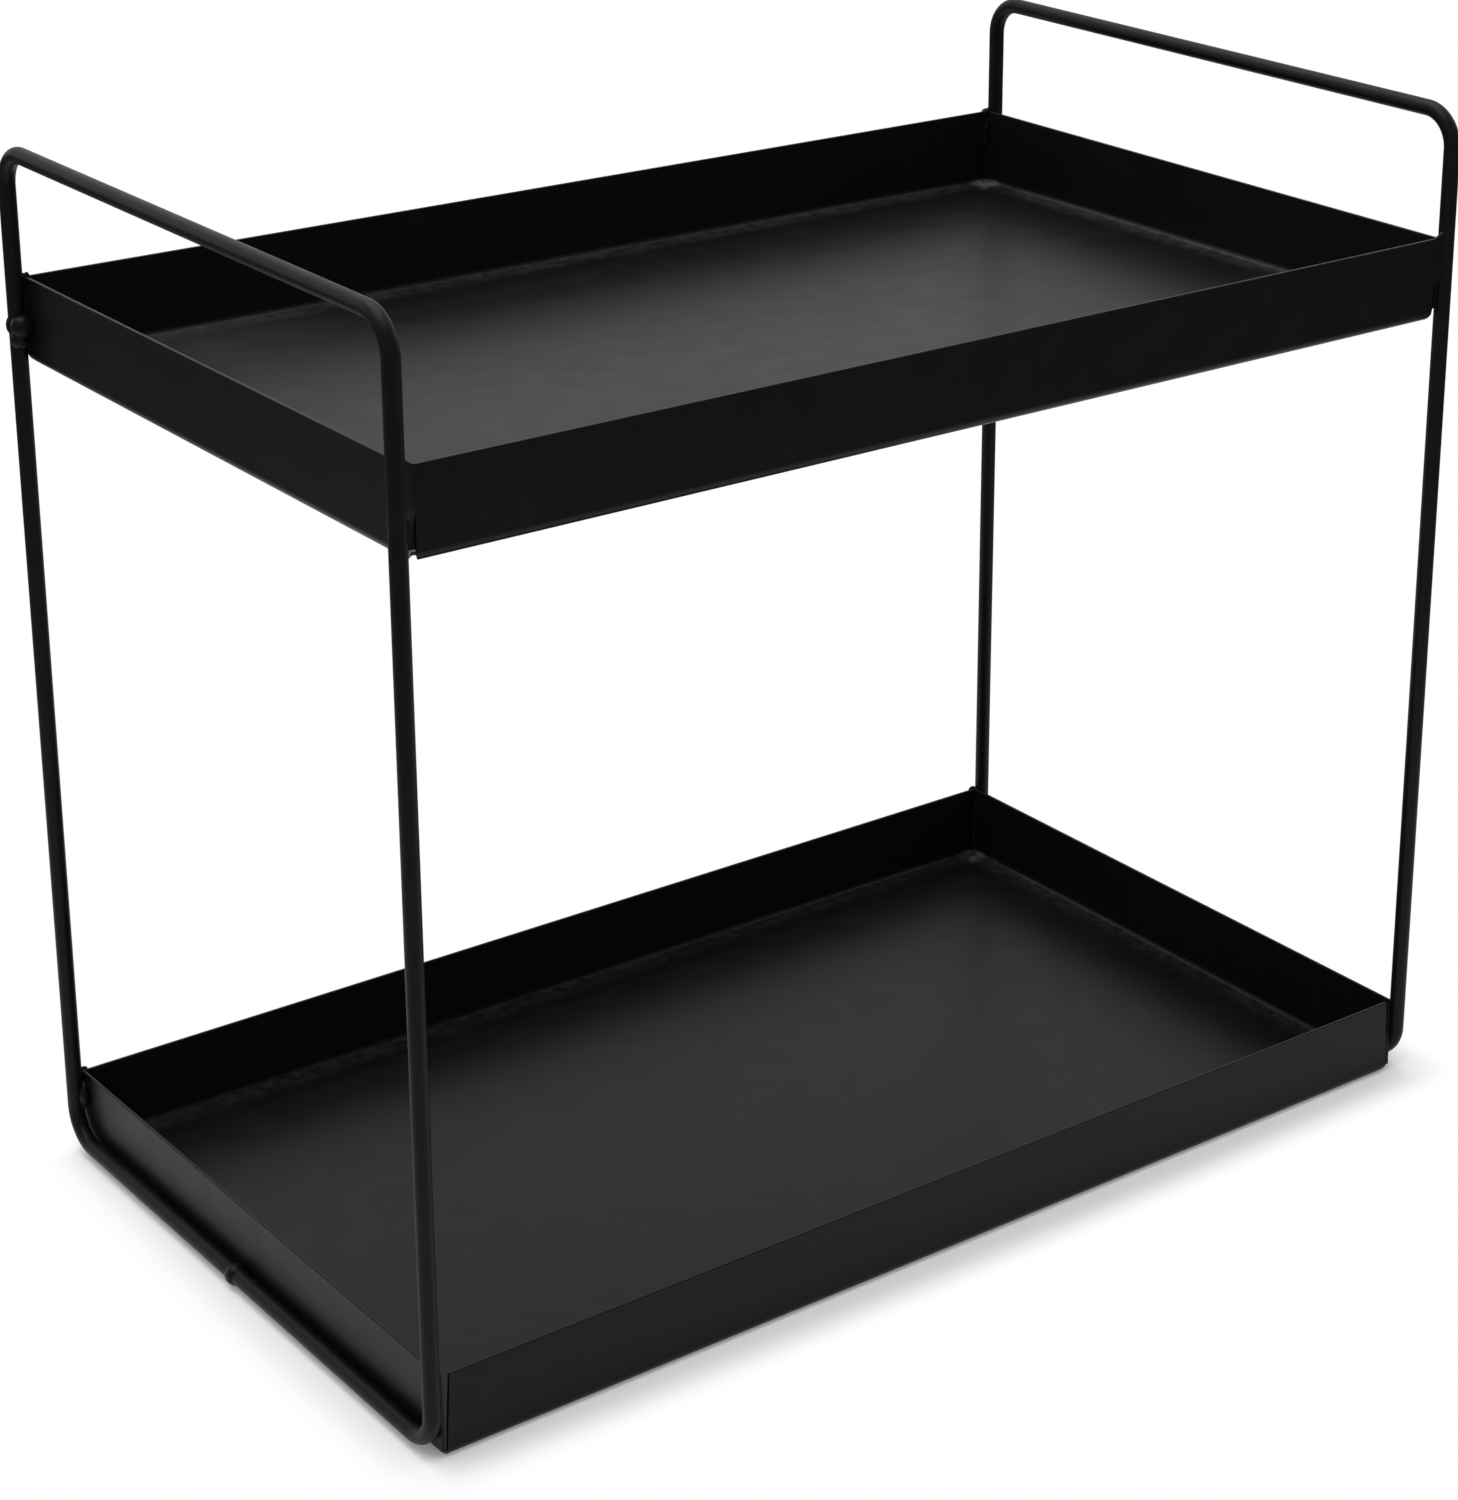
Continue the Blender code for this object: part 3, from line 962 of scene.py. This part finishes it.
class RACK_OT_butt_welds(bpy.types.Operator):
    """Builds the smooth lump on each bar where the ends of its wire meet"""

    bl_idname = "rack.butt_welds"
    bl_label = "Butt welds"

    def execute(self, context):
        reach = context.scene.rack_sizes.collar_reach
        for side_name in SIDES:
            node = side_name + "_butt_weld"
            low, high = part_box(node)
            wire_low, wire_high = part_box(side_name + "_wire_loop")
            wire_radius = (wire_high.x - wire_low.x) / 2
            axis = (wire_low + wire_high) / 2
            axis.y = (low.y + high.y) / 2
            axis.z = wire_low.z + wire_radius
            radius = max(high.x - axis.x, axis.x - low.x)
            outer, core = (radius, reach, radius), (radius, CORE_SHARE * reach, radius)
            coins = [
                add_ball(node + "_coin", outer, axis, LARGE_BALL),
                add_ball(node + "_coin", core, axis, LARGE_BALL, CORE_LEAN),
            ]
            lump = run_together(coins, node + "_lump", BUTT_SMOOTHING)
            finish_piece(lump, weld_paint(), [node], WELD_CREASE)
        return {"FINISHED"}


# Stage


def mixed(nodes, links, share, low, high):
    """A level between two others, each a constant or from a node."""
    mix = nodes.new("ShaderNodeMix")
    mix.data_type = "FLOAT"
    feed(links, mix.inputs["Factor"], share)
    feed(links, mix.inputs["A"], low)
    feed(links, mix.inputs["B"], high)
    return mix.outputs["Result"]


def mixed_shaders(nodes, links, share, first, second):
    """Two surfaces mixed, with the share of the second."""
    mix = nodes.new("ShaderNodeMixShader")
    for socket, value in zip(mix.inputs, (share, first, second)):
        links.new(value, socket)
    return mix.outputs["Shader"]


def paper_shader(nodes, links, colour):
    """A matt surface of one colour, or of a grey from a node."""
    paper = nodes.new("ShaderNodeBsdfDiffuse")
    feed(links, paper.inputs["Color"], colour)
    return paper.outputs["BSDF"]


def empty_tree(owner):
    """The nodes and links of a material or a world, with nothing in them yet."""
    owner.use_nodes = True
    owner.node_tree.nodes.clear()
    return owner.node_tree.nodes, owner.node_tree.links


def seen_straight(nodes, links, path):
    """1 for what the camera sees, also through a clear piece."""
    return compute(nodes, links, "MAXIMUM", path["Is Camera Ray"], path["Is Transmission Ray"])


def stage_floor():
    """A white table whose glow fades close round the rack's foot, where the lamps' shadow shows and the
    fade also paints shade of its own. Reflections see it white near the rack and dim further out, as
    with dark flags round a studio table."""
    stage = bpy.context.scene.rack_stage
    bpy.ops.mesh.primitive_plane_add(size=TABLE_SIZE, location=(0, 0, 0))
    floor = bpy.context.active_object
    floor.name = "studio_floor"
    material = bpy.data.materials.new("studio_white")
    nodes, links = empty_tree(material)
    path = nodes.new("ShaderNodeLightPath").outputs
    place = nodes.new("ShaderNodeTexCoord").outputs["Object"]

    foot = cad_box[1]
    outside = vector_step(nodes, links, "MAXIMUM", past_box(nodes, links, place, foot.x, foot.y))
    away = vector_step(nodes, links, "LENGTH", outside)
    # Painted shade: the glow fades near the rack's foot, darkening the table there besides its real
    # shadow
    whiteness = ramp(nodes, links, away, 0, stage.shadow_reach, stage.contact_white, 1)
    shaded = paper_shader(nodes, links, (stage.paper, stage.paper, stage.paper, 1))
    clean = nodes.new("ShaderNodeEmission").outputs["Emission"]
    white = mixed_shaders(nodes, links, whiteness, shaded, clean)

    from_middle = vector_step(nodes, links, "LENGTH", place)
    near = ramp(nodes, links, from_middle, stage.pool_inner, stage.pool_outer, 1, 0)
    grey = mixed(nodes, links, path["Is Glossy Ray"], stage.paper, stage.far_floor)
    table = paper_shader(nodes, links, grey)
    glossy = compute(nodes, links, "MULTIPLY", path["Is Glossy Ray"], near)
    shows_white = compute(nodes, links, "MAXIMUM", seen_straight(nodes, links, path), glossy)
    output = nodes.new("ShaderNodeOutputMaterial")
    links.new(mixed_shaders(nodes, links, shows_white, table, white), output.inputs["Surface"])
    floor.data.materials.append(material)


def stage_world():
    """A plain white backdrop in an evenly lit room. Reflections see it white beyond the rack and dim
    on the camera's side, as with dark flags beside the camera."""
    stage = bpy.context.scene.rack_stage
    world = bpy.data.worlds.new("studio_room")
    bpy.context.scene.world = world
    nodes, links = empty_tree(world)
    path = nodes.new("ShaderNodeLightPath").outputs
    direction = nodes.new("ShaderNodeTexCoord").outputs["Generated"]
    backdrop = Vector(stage.backdrop).normalized()
    towards = vector_step(nodes, links, "DOT_PRODUCT", direction, backdrop)
    turn = (stage.room_turn_from, stage.room_turn_to)
    reflected = ramp(nodes, links, towards, *turn, stage.flag, 1)
    lit = mixed(nodes, links, path["Is Glossy Ray"], stage.room_light, reflected)
    strength = mixed(nodes, links, seen_straight(nodes, links, path), lit, 1)
    background = nodes.new("ShaderNodeBackground")
    links.new(strength, background.inputs["Strength"])
    background.inputs["Color"].default_value = (1, 1, 1, 1)
    output = nodes.new("ShaderNodeOutputWorld")
    links.new(background.outputs["Background"], output.inputs["Surface"])


def stage_lamp():
    stage = bpy.context.scene.rack_stage
    lamp = bpy.data.lights.new("overhead_softbox", "AREA")
    lamp.shape = "RECTANGLE"
    lamp.size, lamp.size_y = stage.lamp_size
    lamp.energy = stage.key_power
    softbox = bpy.data.objects.new("overhead_softbox", lamp)
    softbox.location = stage.lamp_place
    towards = Vector(stage.aim) - Vector(stage.lamp_place)
    softbox.rotation_euler = towards.to_track_quat("-Z", "Y").to_euler()
    bpy.context.scene.collection.objects.link(softbox)


def stage_camera():
    stage = bpy.context.scene.rack_stage
    camera = bpy.data.cameras.new("photo_camera")
    camera.lens = stage.lens
    camera.sensor_fit = "AUTO"
    camera.sensor_width = SENSOR_WIDTH
    camera.shift_x, camera.shift_y = stage.shift
    camera.clip_start, camera.clip_end = CLIP_NEAR, CLIP_FAR
    holder = bpy.data.objects.new("photo_camera", camera)
    forward = Vector((
        math.sin(stage.azimuth) * math.cos(stage.pitch),
        math.cos(stage.azimuth) * math.cos(stage.pitch),
        -math.sin(stage.pitch),
    ))
    holder.location = Vector(stage.aim) - forward * stage.distance
    holder.rotation_euler = forward.to_track_quat("-Z", "Y").to_euler()
    holder.rotation_euler.rotate_axis("Z", stage.roll)
    bpy.context.scene.collection.objects.link(holder)
    bpy.context.scene.camera = holder


class RACK_OT_stage(bpy.types.Operator):
    """Adds the pale floor, the soft light and the camera at the photograph's angle"""

    bl_idname = "rack.stage"
    bl_label = "Studio"

    def execute(self, context):
        stage_floor()
        stage_world()
        stage_lamp()
        stage_camera()
        context.scene.view_settings.view_transform = "Standard"
        return {"FINISHED"}


class RACK_PT_panel(bpy.types.Panel):
    """Buttons for the rack's pieces and the studio, with their sizes and looks"""

    bl_idname = "RACK_PT_panel"
    bl_label = "Kitchen Rack"
    bl_space_type = "VIEW_3D"
    bl_region_type = "UI"
    bl_category = "Rack"

    def draw(self, context):
        layout = self.layout
        for operator in OPERATORS:
            layout.operator(operator.bl_idname)
        for group_name, group in GROUPS.items():
            box = layout.box()
            for name in group.__annotations__:
                box.prop(getattr(context.scene, group_name), name)


GROUPS = {"rack_sizes": RackSizes, "rack_finish": RackFinish, "rack_stage": RackStage}
OPERATORS = (
    RACK_OT_trays, RACK_OT_wire_loops, RACK_OT_post_welds, RACK_OT_corner_welds,
    RACK_OT_butt_welds, RACK_OT_stage,
)


def register():
    for name, group in GROUPS.items():
        bpy.utils.register_class(group)
        setattr(bpy.types.Scene, name, PointerProperty(type=group))
    for kind in (*OPERATORS, RACK_PT_panel):
        bpy.utils.register_class(kind)


def unregister():
    for kind in reversed((*OPERATORS, RACK_PT_panel)):
        bpy.utils.unregister_class(kind)
    for name, group in GROUPS.items():
        delattr(bpy.types.Scene, name)
        bpy.utils.unregister_class(group)


def main():
    register()
    deselect_all()
    bpy.ops.rack.trays()
    bpy.ops.rack.wire_loops()
    bpy.ops.rack.post_welds()
    bpy.ops.rack.corner_welds()
    bpy.ops.rack.butt_welds()
    bpy.ops.rack.stage()


if __name__ == "__main__":
    main()
